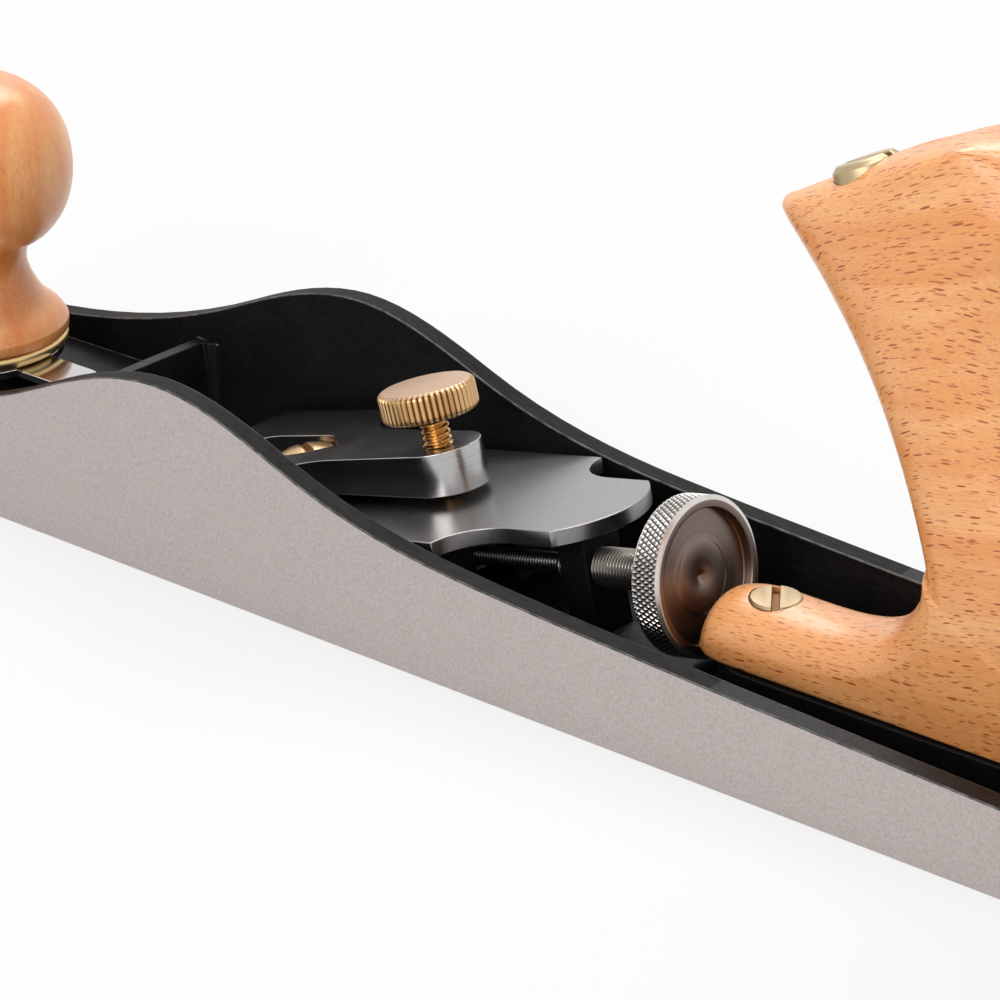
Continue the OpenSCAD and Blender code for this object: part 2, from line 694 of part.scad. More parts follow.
// The points across the handle from those: along its foot, up its back and over its horn
function tote_back() = concat(
    [for (i = [0 : 5]) on_tote(0.012 + 0.0042 * i * i, 0)],
    [for (i = [1 : 8]) on_tote(0.12 + 0.11 * i, 0)],
    bezier(on_tote(0.994, 0.04), on_tote(0.96, 0.199), on_tote(0.657, 0.571), on_tote(0.763, 0.767), 7),
    bezier(on_tote(0.802, 0.813), on_tote(0.842, 0.845), on_tote(0.906, 0.87), on_tote(0.902, 0.907), 3),
    bezier(on_tote(0.87, 0.937), on_tote(0.797, 0.954), on_tote(0.677, 0.996), on_tote(0.598, 1), 4));
// Half thickness of the handle at a point of its front edge
function tote_half(p) = let (
    toe = min(1, (p[0] - tote_toe + 0.11 * tote_t) / (0.435 * tote_t)),
    crown = min(1, max(0, platform_h + tote_h - p[1]) / tote_round))
    (tote_t / 2 - tote_round * (1 - sqrt(1 - (1 - crown) * (1 - crown)))) * sqrt(1 - pow(1 - toe, 2.6));
// How far its side is rounded back from the front edge: a bow that widens towards the nose
function tote_bow(p) = let (ridge = on_tote(0.553, 0.333))
    p[1] < on_tote(0, 0.273)[1] ? min(throat_depth, 0.7 * (p[1] - platform_h) + 1.5) :
    ridge[0] - 0.1 * (p[1] - ridge[1]) - p[0];
// How far its side is rounded forward from the back edge
function tote_aft(p) = p[1] <= platform_h ? 0 : min(back_depth, 0.6 * (p[1] - platform_h));

// One ring round the handle between a front point and a back point: each end is part arc and part
// bow, so that a soft ridge is left along the side where the two meet
function tote_ring(f, b) =
    let (len = norm(b - f), bow = tote_bow(f), aft = tote_aft(b), k = min(1, len / (bow + aft)),
         half = tote_half(f), n = section_steps,
         front = [for (i = [0 : n]) let (t = 90 * i / n)
             [k * bow * (1 - cos(t)), half * ((1 - front_flat) * sin(t) + front_flat * (1 - cos(t)))]],
         back = [for (i = [n : -1 : 0]) let (t = 90 * i / n)
             [len - k * aft * (1 - cos(t)), half * ((1 - back_flat) * sin(t) + back_flat * (1 - cos(t)))]],
         side = concat(front, back),
         last = len(side) - 1)
    [for (q = concat(side, [for (i = [last - 1 : -1 : 1]) [side[i][0], -side[i][1]]]))
        let (p = f + (b - f) * q[0] / len) [p[0], q[1], p[1]]];

module tote() {
    color([0.87, 0.62, 0.4]) difference() {
        loft([for (i = [0 : len(tote_front()) - 1]) tote_ring(tote_front()[i], tote_back()[i])]);
        on_rod() translate([0, 0, -thread_bite]) cylinder(r = tote_rod_r + rod_room, h = big);
        on_rod() translate([0, 0, rod_len - nut_sink]) cylinder(r = tote_nut_r + seat_gap, h = big);
        translate([toe_screw_at, 0, 0]) {
            cylinder(r = toe_screw_r + screw_slack, h = big / 8);
            translate([0, 0, toe_head_z]) cylinder(r = toe_screw_head_r + head_room, h = big / 16);
        }
    }
}

// A solid through a row of closed rings that all have the same number of points
module loft(rings) {
    n = len(rings[0]);
    last = len(rings) - 1;
    points = [for (r = rings) each r];
    sides = [for (j = [0 : last - 1], i = [0 : n - 1]) let (k = (i + 1) % n, a = j * n, b = (j + 1) * n)
        each [[a + i, b + k, a + k], [a + i, b + i, b + k]]];
    ends = [[for (i = [0 : n - 1]) i], [for (i = [n - 1 : -1 : 0]) last * n + i]];
    polyhedron(points, concat(sides, ends));
}

module tote_rod() {
    color([0.55, 0.55, 0.55]) on_rod() translate([0, 0, -thread_bite + seat_gap])
        cylinder(r = tote_rod_r, h = thread_bite + rod_len - nut_web - rod_slack);
}

module tote_nut() {
    color([0.83, 0.67, 0.36]) on_rod() translate([0, 0, rod_len - nut_sink + seat_gap]) difference() {
        union() {
            cylinder(r = tote_nut_r, h = nut_sink - 2);
            translate([0, 0, nut_sink - 2]) cylinder(r1 = tote_nut_r, r2 = tote_nut_r - 1, h = 1);
        }
        translate([0, 0, -1]) cylinder(r = tote_rod_r + seat_gap, h = 1 + nut_sink - nut_web);
        translate([0, 0, nut_sink - 1]) slotted(tote_nut_r);
    }
}

module toe_screw() {
    head_h = 2.4;
    color([0.83, 0.67, 0.36]) translate([toe_screw_at, 0, 0]) {
        translate([0, 0, platform_h - thread_bite + seat_gap])
            cylinder(r = toe_screw_r, h = toe_head_z - platform_h + thread_bite);
        translate([0, 0, toe_head_z + seat_gap]) difference() {
            union() {
                cylinder(r = toe_screw_head_r, h = head_h - 0.4);
                translate([0, 0, head_h - 0.4])
                    cylinder(r1 = toe_screw_head_r, r2 = toe_screw_head_r - 0.4, h = 0.4);
            }
            translate([0, 0, head_h]) rotate([0, 0, toe_slot_turn]) slotted(toe_screw_head_r);
        }
    }
}

plane_body();
toe_plate();
knob_stud();
cam_pin();
mouth_lever();
knob_ring();
front_knob();
knob_insert();
blade();
traveller();
drive_pin();
cap_screw();
lever_cap();
thumb_screw();
adjuster_screw();
adjuster_wheel();
tote();
tote_rod();
tote_nut();
toe_screw();
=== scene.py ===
"""Looks of the low-angle jack plane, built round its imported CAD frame.

Lengths are in millimetres and MM turns them into metres, except where a comment says metres.
"""

import json
import math

import bmesh
import bpy
from mathutils import Matrix, Vector


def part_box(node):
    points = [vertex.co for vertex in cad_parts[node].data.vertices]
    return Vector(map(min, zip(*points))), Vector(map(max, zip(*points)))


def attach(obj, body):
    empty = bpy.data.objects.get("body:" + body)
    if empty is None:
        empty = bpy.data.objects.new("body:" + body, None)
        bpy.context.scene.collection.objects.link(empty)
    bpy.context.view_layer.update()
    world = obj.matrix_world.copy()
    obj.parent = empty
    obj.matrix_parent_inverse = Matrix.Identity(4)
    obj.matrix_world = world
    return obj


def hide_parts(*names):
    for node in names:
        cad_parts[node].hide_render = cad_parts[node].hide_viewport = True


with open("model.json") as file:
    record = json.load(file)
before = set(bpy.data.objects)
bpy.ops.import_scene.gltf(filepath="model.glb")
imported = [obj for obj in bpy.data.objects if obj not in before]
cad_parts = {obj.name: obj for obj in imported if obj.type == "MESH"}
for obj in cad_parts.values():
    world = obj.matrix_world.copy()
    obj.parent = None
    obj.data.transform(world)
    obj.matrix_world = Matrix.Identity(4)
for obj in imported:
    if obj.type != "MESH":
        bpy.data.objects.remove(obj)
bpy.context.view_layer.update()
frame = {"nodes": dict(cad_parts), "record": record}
scene = bpy.context.scene

MM = 0.001
HALF_LENGTH, HALF_WIDTH = 177.5, 31.5
WALL_IN = 26.8          # inner face of a side wall, from the middle
END_RADIUS = 66         # of the curved toe and heel
BED_EDGE = -84          # X of the bed's front edge, at the mouth
BED = math.radians(12)
CAP_TILT = math.radians(15.5)
ROD_LEAN = math.radians(24.7)
KNOB_X = -135.7
TOE_SCREW_X = 79.6
NUT_AT = (95.6, 0, 110.9)
UP = (0, 0, 1)

# Camera fitted to the photograph; its place is in metres
VIEW_RIGHT = (0.762654, 0.646648, -0.014317)
VIEW_UP = (-0.256907, 0.323160, 0.910805)
VIEW_BACK = (0.593597, -0.690951, 0.412588)
VIEW_AT = (0.41550, -0.46727, 0.30268)


def frame_matrix(x, y, z, origin):
    """The matrix of a frame from its axes and its origin."""
    return Matrix([[x[i], y[i], z[i], origin[i]] for i in range(3)] + [[0, 0, 0, 1]])


cam_data = bpy.data.cameras.new("camera")
cam_data.lens = 126.67
cam_data.sensor_width = 36
cam_data.clip_end = 20
camera = bpy.data.objects.new("camera", cam_data)
scene.collection.objects.link(camera)
camera.matrix_world = frame_matrix(VIEW_RIGHT, VIEW_UP, VIEW_BACK, VIEW_AT)
scene.camera = camera
scene.view_settings.view_transform = "Standard"


def srgb(r, g, b):
    """An sRGB colour of 0 to 255 as a linear one."""
    def lin(c):
        c /= 255
        return c / 12.92 if c <= 0.04045 else ((c + 0.055) / 1.055) ** 2.4
    return (lin(r), lin(g), lin(b), 1)


def metres(p):
    return tuple(c * MM for c in p)


def bed(u, w):
    """A point over the bed: u up from its edge, w off it."""
    return (BED_EDGE + u * math.cos(BED) - w * math.sin(BED), 0, u * math.sin(BED) + w * math.cos(BED))


BED_AXIS = (math.cos(BED), 0, math.sin(BED))
BED_NORMAL = (-math.sin(BED), 0, math.cos(BED))
THUMB_AXIS = (-math.sin(CAP_TILT), 0, math.cos(CAP_TILT))
ROD_AXIS = (-math.sin(ROD_LEAN), 0, math.cos(ROD_LEAN))
CAP_SCREW_AT = bed(49.9, 0)
THUMB_AT = bed(87.3, 13.4)
WHEEL_AT = bed(149.9, -9.06)


class Nodes:
    """A node tree, with short ways to add nodes to it."""

    def __init__(self, tree):
        self.tree = tree

    def node(self, kind, inputs=None, **attrs):
        n = self.tree.nodes.new("ShaderNode" + kind)
        for k, v in attrs.items():
            setattr(n, k, v)
        for k, v in (inputs or {}).items():
            self.feed(n.inputs[k], v)
        return n

    def feed(self, socket, value):
        """Links a socket to the input, or sets it to the value."""
        if isinstance(value, bpy.types.NodeSocket):
            self.tree.links.new(value, socket)
        else:
            socket.default_value = value

    def calc(self, op, a, b=0.0):
        return self.node("Math", {0: a, 1: b}, operation=op).outputs[0]

    def vec(self, op, a, b=(0, 0, 0), out=0):
        return self.node("VectorMath", {0: a, 1: b}, operation=op).outputs[out]

    def fade(self, fac, a, b, lo=0.0, hi=1.0):
        """fac from a to b as lo to hi."""
        return self.node("MapRange", {0: fac, 1: a, 2: b, 3: lo, 4: hi}).outputs[0]

    def showing(self):
        """1 for the rays that show a thing: straight to the camera, mirrored or through glass."""
        path = self.node("LightPath")
        mirrored = self.calc("MAXIMUM", path.outputs["Is Glossy Ray"], path.outputs["Is Transmission Ray"])
        return self.calc("MAXIMUM", path.outputs["Is Camera Ray"], mirrored)


class Graph(Nodes):
    """The nodes of a new material."""

    SOCKETS = {"color": "Base Color", "rough": "Roughness", "metal": "Metallic", "normal": "Normal",
               "coat": "Coat Weight", "coat_rough": "Coat Roughness", "spec": "Specular IOR Level"}

    def __init__(self, name):
        self.mat = bpy.data.materials.new(name)
        self.mat.use_nodes = True
        super().__init__(self.mat.node_tree)
        self.bsdf = self.tree.nodes["Principled BSDF"]

    def here(self):
        """Object coordinates, in metres."""
        return self.node("TexCoord").outputs["Object"]

    def coords(self, scale=(1, 1, 1), turn=(0, 0, 0)):
        """Object coordinates, turned and then scaled."""
        c = self.here()
        if any(turn):
            c = self.node("Mapping", {"Vector": c, "Rotation": turn}).outputs[0]
        return self.node("Mapping", {"Vector": c, "Scale": scale}).outputs[0]

    def noise(self, vector, scale, detail=3, rough=0.5, distortion=0):
        return self.node("TexNoise", {"Vector": vector, "Scale": scale, "Detail": detail, "Roughness": rough,
                                      "Distortion": distortion}).outputs[0]

    def rings(self, r, per_metre):
        """Noise that changes with the distance from an axis alone."""
        return self.node("TexNoise", {"W": r, "Scale": per_metre, "Detail": 2, "Roughness": 0.6},
                         noise_dimensions="1D").outputs[0]

    def radius(self, origin, axis):
        """Distance from an axis, in metres."""
        off = self.vec("SUBTRACT", self.here(), origin)
        return self.vec("LENGTH", self.vec("CROSS_PRODUCT", off, axis), out=1)

    def ramp(self, fac, stops):
        n = self.node("ValToRGB", {0: fac})
        for i, (at, c) in enumerate(stops):
            e = n.color_ramp.elements[i] if i < 2 else n.color_ramp.elements.new(at)
            e.position = at
            e.color = c if len(c) == 4 else (*c, 1)
        return n.outputs[0]

    def mix(self, fac, a, b):
        return self.node("Mix", {0: fac, 6: a, 7: b}, data_type="RGBA").outputs[2]

    def bump(self, height, strength, distance):
        """distance is in metres."""
        return self.node("Bump", {"Height": height, "Strength": strength, "Distance": distance}).outputs[0]

    def set(self, **values):
        for k, v in values.items():
            self.feed(self.bsdf.inputs[self.SOCKETS[k]], v)
        return self.mat


# Materials
def ground_iron():
    """Ground cast iron: warm light grey with a fine even grain."""
    g = Graph("ground_iron")
    fine = g.noise(g.coords(), 2200, 3, 0.7)
    broad = g.noise(g.coords((1, 1, 3)), 60, 3, 0.6)
    lines = g.noise(g.coords((120, 1500, 1500)), 1, 3, 0.6)
    col = g.ramp(fine, [(0.25, srgb(160, 150, 146)), (0.75, srgb(199, 190, 187))])
    col = g.mix(g.fade(broad, 0.3, 0.7, 0, 0.35), col, srgb(183, 173, 169))
    h = g.calc("ADD", g.calc("MULTIPLY", fine, 0.6), lines)
    return g.set(color=col, metal=0.25, rough=g.fade(fine, 0.3, 0.7, 0.52, 0.66), normal=g.bump(h, 0.25, 0.00008))


def black_casting():
    """Black paint over a sand-cast surface."""
    g = Graph("black_casting")
    sand = g.noise(g.coords(), 1500, 4, 0.65)
    lumps = g.noise(g.coords(), 170, 3, 0.5)
    col = g.ramp(lumps, [(0.3, (0.0035, 0.0035, 0.004)), (0.75, (0.007, 0.0068, 0.007))])
    h = g.calc("ADD", g.calc("MULTIPLY", sand, 0.7), lumps)
    return g.set(color=col, rough=g.fade(sand, 0.3, 0.7, 0.34, 0.52), spec=0.16, normal=g.bump(h, 0.8, 0.0003))


def wall_top():
    """The top of the walls, filed flat and painted thinly over."""
    g = Graph("wall_top")
    grit = g.noise(g.coords(), 1900, 3, 0.7)
    marks = g.noise(g.coords((260, 900, 900)), 1, 3, 0.6)
    col = g.ramp(g.mix(0.5, grit, marks), [(0.36, srgb(16, 15, 15)), (0.64, srgb(44, 42, 40))])
    return g.set(color=col, rough=g.fade(grit, 0.3, 0.7, 0.45, 0.62), spec=0.05, normal=g.bump(grit, 0.35, 0.0001))


def worn_edge_highlight():
    """The casting's arrises: a lighter grey for paint worn thin, and as a painted highlight along the edges."""
    g = Graph("worn_edge_highlight")
    patch = g.noise(g.coords(), 420, 3, 0.6)
    col = g.ramp(patch, [(0.35, (0.02, 0.02, 0.02)), (0.65, (0.12, 0.12, 0.118))])
    return g.set(color=col, metal=0.3, rough=g.fade(patch, 0.3, 0.7, 0.3, 0.45), normal=g.bump(patch, 0.2, 0.0001))


def steel(name, tint, rough, along=(1, 0, 0), contrast=0.06, grain=2600, tilt=12):
    """Satin steel, finely brushed along one axis and tilted by some degrees to lie with its piece."""
    g = Graph(name)
    turn = (0, math.radians(tilt), 0)
    brush = g.noise(g.coords(tuple(90 if a else grain for a in along), turn), 1, 3, 0.6)
    cloud = g.noise(g.coords(), 45, 2, 0.5)
    lo, hi = [tuple(min(1, c * k) for c in tint) for k in (1 - contrast, 1 + contrast)]
    col = g.ramp(brush, [(0.3, (*lo, 1)), (0.7, (*hi, 1))])
    r = g.calc("ADD", g.fade(brush, 0.3, 0.7, rough - 0.015, rough + 0.02), g.fade(cloud, 0.3, 0.7, -0.015, 0.015))
    return g.set(color=col, metal=1, rough=r, normal=g.bump(brush, 0.03, 0.00002))


def turned(name, tint, rough, origin, axis, per_metre, depth, groove_shade=None):
    """Metal turned on a lathe: fine rings round its axis. The last argument is an inner and an outer radius and the
    share of its colour that the metal keeps at the inner one, as painted shade in the grooves."""
    g = Graph(name)
    dark = [c * 0.93 for c in tint]
    radius = g.radius(metres(origin), axis)
    fine = g.rings(radius, per_metre)
    cloud = g.noise(g.coords(), 140, 2, 0.5)
    col = g.mix(g.fade(cloud, 0.3, 0.7), (*dark, 1), (*tint, 1))
    col = g.mix(g.fade(fine, 0.3, 0.7, 0, 0.25), col, (*[c * 0.9 for c in dark], 1))
    if groove_shade:
        inner, outer, keep = groove_shade
        # painted shade: the colour darkens towards the inner radius, down in the grooves
        col = g.mix(g.fade(radius, inner * MM, outer * MM), (*[c * keep for c in tint], 1), col)
    r = g.fade(fine, 0.3, 0.7, rough - 0.03, rough + 0.05)
    return g.set(color=col, metal=1, rough=r, normal=g.bump(fine, depth, 0.00004))


# Two layers of flecks: the cell they are spread by, their half sizes, and an offset.
# Each size is along the grain, through the plate and across it.
FLECKS = (((3.0, 1.3, 2.4), (1.1, 0.13, 1.1), 0.0),
          ((2.4, 1.1, 1.9), (0.8, 0.09, 0.8), 7.3))


def beech(name, light, deep, fleck, flecks, upright=False, shift=0.0):
    """Waxed beech: soft growth bands, fine fibres, and the short dark flecks of its rays.
    The flecks are flat plates, so each surface cuts them as its own direction allows."""
    g = Graph(name)
    c = g.here()
    if upright:
        c = g.node("Mapping", {"Vector": c, "Rotation": (0, math.radians(90), 0)}).outputs[0]
    x, y, z = [g.node("SeparateXYZ", {0: c}).outputs[i] for i in range(3)]
    if upright:
        rise = g.calc("MULTIPLY", x, 0.03)
    else:
        slope = g.calc("ADD", g.calc("MULTIPLY", g.calc("SUBTRACT", z, 0.015), 2.6), 0.06)
        rise = g.calc("MULTIPLY", g.calc("SUBTRACT", x, 0.1), slope)
    wave = g.calc("MULTIPLY", g.calc("SUBTRACT", g.noise(g.coords(), 26, 1, 0.5), 0.5), 0.006)
    z = g.calc("ADD", g.calc("SUBTRACT", z, rise), wave)
    thin = g.calc("ADD", g.calc("MULTIPLY", y, 0.69), g.calc("MULTIPLY", z, 0.72))
    wide = g.calc("SUBTRACT", g.calc("MULTIPLY", z, 0.69), g.calc("MULTIPLY", y, 0.72))

    def scaled(a, b, d):
        """Coordinates along, through and across the plates, in cells of these sizes."""
        parts = [g.calc("MULTIPLY", v, 1000 / k) for v, k in ((x, a), (thin, b), (wide, d))]
        return g.node("CombineXYZ", {0: parts[0], 1: parts[1], 2: parts[2]}).outputs[0]

    bands = g.noise(scaled(80, 10, 4.5), 1, 2, 0.5, 0.2)
    fibre = g.noise(scaled(9, 0.3, 0.3), 1, 3, 0.6)
    pores = g.noise(scaled(2.4, 0.16, 0.16), 1, 2, 0.5)
    between = [(a + b) / 2 for a, b in zip(light, deep)]
    col = g.ramp(bands, [(0.3, srgb(*deep)), (0.52, srgb(*between)), (0.7, srgb(*light))])
    col = g.mix(g.fade(fibre, 0.35, 0.7, 0, 0.45), col, srgb(*[v * 0.9 for v in deep]))
    col = g.mix(g.fade(pores, 0.56, 0.72, 0, 0.34), col, srgb(*fleck))
    dashes = None
    for cell_size, half_size, off in FLECKS:
        at = g.vec("ADD", scaled(*cell_size), (off + shift, off, off))
        cell = g.node("TexVoronoi", {"Vector": at, "Scale": 1, "Randomness": 0.85})
        gap = g.vec("MULTIPLY", g.vec("SUBTRACT", at, cell.outputs["Position"]),
                    [c / h for c, h in zip(cell_size, half_size)])
        chance = g.node("SeparateColor", {0: cell.outputs["Color"]})
        far = g.calc("DIVIDE", g.vec("LENGTH", gap, out=1), g.fade(chance.outputs[0], 0, 1, 0.62, 1.25))
        one = g.calc("MULTIPLY", g.fade(far, 0.78, 1.02, 1, 0), g.fade(chance.outputs[1], 0, 1, 0.45, 1.0))
        dashes = one if dashes is None else g.calc("MAXIMUM", dashes, one)
    col = g.mix(g.calc("MULTIPLY", dashes, flecks), col, srgb(*fleck))
    rough = g.calc("ADD", g.fade(fibre, 0.3, 0.7, 0.3, 0.38), g.calc("MULTIPLY", dashes, 0.12))
    h = g.calc("SUBTRACT", g.calc("MULTIPLY", fibre, 0.35), dashes)
    return g.set(color=col, rough=rough, coat=0.3, coat_rough=0.22, spec=0.5, normal=g.bump(h, 0.16, 0.0001))


GROUND = ground_iron()
BLACK = black_casting()
STEEL = steel("satin_blade_steel", (0.3, 0.291, 0.287), 0.29, (0, 1, 0), 0.05, 3600)
CAP_STEEL = steel("satin_cap_steel", (0.46, 0.452, 0.448), 0.2, (1, 1, 0), 0.1, 3600, 15.5)
POLISHED = steel("polished_steel", (0.62, 0.61, 0.6), 0.12, contrast=0.03)
# WHEEL's dark brown tint, on the wheel's dish and the screw's spigot, is painted shade and a painted reflection of the
# beech handle.
WHEEL = turned("turned_steel", (0.22, 0.165, 0.142), 0.31, WHEEL_AT, BED_AXIS, 1800, 0.35)
# The last tuple of KNURL, SHANK, ROD, BRASS and BRASS_KNURL darkens their grooves: painted shade.
KNURL = turned("knurled_steel", (0.56, 0.53, 0.5), 0.2, WHEEL_AT, BED_AXIS, 2000, 0.03, (14.93, 15.16, 0.12))
# Lighter grey for the wall arrises: worn paint and a painted highlight.
EDGE = worn_edge_highlight()
WALL = wall_top()
SHANK = turned("threaded_steel", (0.42, 0.39, 0.35), 0.26, WHEEL_AT, BED_AXIS, 2000, 0.05, (3.6, 3.9, 0.15))
CHAMFER = turned("bright_turned_steel", (0.72, 0.69, 0.66), 0.3, WHEEL_AT, BED_AXIS, 2000, 0.05)
# ROD's tint is darker than SHANK's on the one screw: painted shade under the blade.
ROD = turned("thin_thread_steel", (0.24, 0.23, 0.22), 0.34, WHEEL_AT, BED_AXIS, 2000, 0.05, (1.72, 1.95, 0.1))
DULL = turned("dull_steel", (0.36, 0.35, 0.34), 0.36, (KNOB_X, 0, 0), UP, 2500, 0.08)
BRASS = turned("thread_brass", (0.76, 0.44, 0.16), 0.2, THUMB_AT, THUMB_AXIS, 2000, 0.05, (2.4, 2.75, 0.6))
BRASS_MATTE = turned("head_brass", (0.51, 0.34, 0.22), 0.4, THUMB_AT, THUMB_AXIS, 3600, 0.06)
BRASS_KNURL = turned("knurled_brass", (0.66, 0.42, 0.2), 0.28, THUMB_AT, THUMB_AXIS, 3600, 0.06, (9.15, 9.5, 0.34))
SCREW_BRASS = turned("screw_brass", (0.38, 0.285, 0.17), 0.42, (TOE_SCREW_X, 0, 0), UP, 2600, 0.04)
# Dark brown for the floor of the toe screw's slot: painted shade.
SLOT_SHADE = turned("slot_shade_brass", (0.2, 0.1, 0.04), 0.5, (TOE_SCREW_X, 0, 0), UP, 2600, 0.04)
NUT_BRASS = turned("nut_brass", (0.5, 0.38, 0.23), 0.36, NUT_AT, ROD_AXIS, 2600, 0.05)
CAP_BRASS = turned("cap_screw_brass", (0.66, 0.43, 0.22), 0.3, CAP_SCREW_AT, BED_NORMAL, 2600, 0.05)
RING_BRASS = turned("polished_brass", (0.82, 0.58, 0.27), 0.33, (KNOB_X, 0, 0), UP, 1500, 0.03)
BEECH_TOTE = beech("beech_handle", (250, 184, 122), (237, 154, 86), (156, 56, 8), 0.95)
BEECH_KNOB = beech("beech_knob", (252, 186, 122), (236, 142, 74), (170, 74, 24), 0.22, True, 3.1)

BODY_OF = {n: b for b, ns in frame["record"]["behaviour"]["bodies"].items() for n in ns}


def place(mesh, node, mats, smooth):
    """Makes a piece of a mesh, gives it its materials and lets it stand for a CAD node.
    smooth is the angle in degrees from which an edge stays sharp."""
    obj = bpy.data.objects.new(node + "_piece", mesh)
    scene.collection.objects.link(obj)
    for m in mats:
        mesh.materials.append(m)
    mesh.polygons.foreach_set("use_smooth", [True] * len(mesh.polygons))
    mesh.set_sharp_from_angle(angle=math.radians(smooth))
    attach(obj, BODY_OF[node])
    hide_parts(node)
    return obj


# Pieces dressed from their own CAD nodes
bevelled = []


def dress(node, mat, bevel, segments=3, smooth=32, limit=34, split=None, fair=None):
    """A copy of a CAD node with its flat faces joined and its edges rounded, where they are sharper than
    limit in degrees. split picks each face's material, and fair moves a vertex."""
    src = frame["nodes"][node]
    me = bpy.data.meshes.new(node + "_dressed")
    bm = bmesh.new()
    bm.from_mesh(src.data)
    bm.transform(src.matrix_world)
    if fair:
        for v in bm.verts:
            fair(v.co)
    bmesh.ops.remove_doubles(bm, verts=bm.verts, dist=2e-6)
    bmesh.ops.dissolve_limit(bm, angle_limit=math.radians(0.6), verts=bm.verts, edges=bm.edges,
                             use_dissolve_boundaries=False)
    bmesh.ops.recalc_face_normals(bm, faces=bm.faces)
    for f in bm.faces:
        f.material_index = split(f.calc_center_median(), f.normal) if split else 0
    bm.to_mesh(me)
    bm.free()
    obj = place(me, node, mat if isinstance(mat, list) else [mat], smooth)
    mod = obj.modifiers.new("edges", "BEVEL")
    mod.width = bevel * MM
    mod.segments = segments
    mod.limit_method = "ANGLE"
    mod.angle_limit = math.radians(limit)
    mod.use_clamp_overlap = False
    mod.harden_normals = False
    mod.miter_outer = "MITER_ARC"
    bevelled.append((obj, src))


GROUND_FACE, PAINTED, WORN_HIGHLIT, WALL_TOP = range(4)


def casting_side(c, n):
    """The material of a face of the casting: ground outside, painted black inside."""
    x, y, z = [v / MM for v in c]
    if abs(n.y) > 0.95 and abs(y) > HALF_WIDTH - 0.3:
        return GROUND_FACE
    if n.z < -0.95 and z < 0.3:
        return GROUND_FACE
    if abs(n.z) < 0.2 and n.x * x > 0 and abs(x) > 168.5:
        if math.hypot(abs(x) - (HALF_LENGTH - END_RADIUS), y) > END_RADIUS - 1.2:
            return GROUND_FACE
    if n.z > 0.3 and abs(y) > WALL_IN:
        return WALL_TOP
    return PAINTED


def wear_and_highlight_arrises(mesh):
    """Gives the rounded edges of the walls their worn look and a painted highlight, in the lighter edge material."""
    for f in mesh.polygons:
        on_wall = WALL_IN * MM < abs(f.center.y) < (HALF_WIDTH + 0.1) * MM
        if on_wall and f.normal.z > 0.15 and 0.2 < abs(f.normal.y) < 0.98:
            f.material_index = WORN_HIGHLIT


def flatten_bed_edge(mesh):
    """Keeps the rounding of the bed's knife edge under the bed, where the blade slides."""
    for v in mesh.vertices:
        at_edge = BED_EDGE - 0.4 < v.co.x / MM < BED_EDGE + 0.8 and abs(v.co.y) < 26 * MM and v.co.z < 0.6 * MM
        if at_edge:
            v.co.z = min(v.co.z, max(0, (v.co.x - BED_EDGE * MM) * math.tan(BED)))


# The cap's round end is drawn a little larger than the solid's, with one flat flank up to a crisp arris
CAP_END, CAP_END_CAD = 8.4, 7.8
ARRIS_ALONG, ARRIS_OFF, FLANK_SLOPE = 1.6, 8.25, 0.0758
CAP_SLACK = 0.65


def cap_end(v):
    """Fairs the cap's outline: removes a step in its flank and shapes its round end."""
    along = ((v.x - THUMB_AT[0] * MM) * math.cos(CAP_TILT) + (v.z - THUMB_AT[2] * MM) * math.sin(CAP_TILT)) / MM
    across = abs(v.y) / MM
    if abs(along + 20.5) < 0.3 and 9.7 < across < 10.1:
        across = 10
    elif along > -0.5 and math.hypot(along, across) > 7:
        grow = CAP_END / CAP_END_CAD
        v.x += along * (grow - 1) * math.cos(CAP_TILT) * MM
        v.z += along * (grow - 1) * math.sin(CAP_TILT) * MM
        across *= grow
        if along * grow < ARRIS_ALONG:
            across = ARRIS_OFF + FLANK_SLOPE * (ARRIS_ALONG - along * grow)
    v.y = math.copysign(across * MM, v.y)


def settle():
    """Applies the bevels and keeps each piece inside its node's own box."""
    graph = bpy.context.evaluated_depsgraph_get()
    done = [(o, src, bpy.data.meshes.new_from_object(o.evaluated_get(graph))) for o, src in bevelled]
    for obj, src, me in done:
        corners = [src.matrix_world @ v.co for v in src.data.vertices]
        low, high = [[pick(c[i] for c in corners) for i in range(3)] for pick in (min, max)]
        slack = CAP_SLACK * MM if obj.name == "lever_cap_piece" else 0
        for v in me.vertices:
            v.co = [min(high[i] + slack, max(low[i] - slack, v.co[i])) for i in range(3)]
        if obj.name == "plane_body_piece":
            flatten_bed_edge(me)
            wear_and_highlight_arrises(me)
        obj.modifiers.clear()
        obj.data = me


SCREW_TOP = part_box("toe_screw")[1][2]       # metres


def toe_screw_side(c, n):
    """1 in the screw's slot, whose darker brown is painted shade."""
    return int(c.z < SCREW_TOP - 0.5 * MM and n.z > 0.5)


dress("plane_body", [GROUND, BLACK, EDGE, WALL], 0.28, smooth=40, limit=40, split=casting_side)
dress("toe_plate", GROUND, 0.2)
dress("blade", STEEL, 0.18)
dress("lever_cap", CAP_STEEL, 0.16, smooth=6, fair=cap_end)
dress("mouth_lever", POLISHED, 0.25)
dress("toe_screw", [SCREW_BRASS, SLOT_SHADE], 0.1, 2, split=toe_screw_side)
for node, mat, bevel in (("cap_screw", CAP_BRASS, 0.2), ("traveller", DULL, 0.3), ("drive_pin", DULL, 0.2),
                         ("cam_pin", DULL, 0.2), ("knob_insert", BRASS, 0.2), ("tote_rod", DULL, 0.2),
                         ("tote_nut", NUT_BRASS, 0.25)):
    dress(node, mat, bevel, 2)
settle()


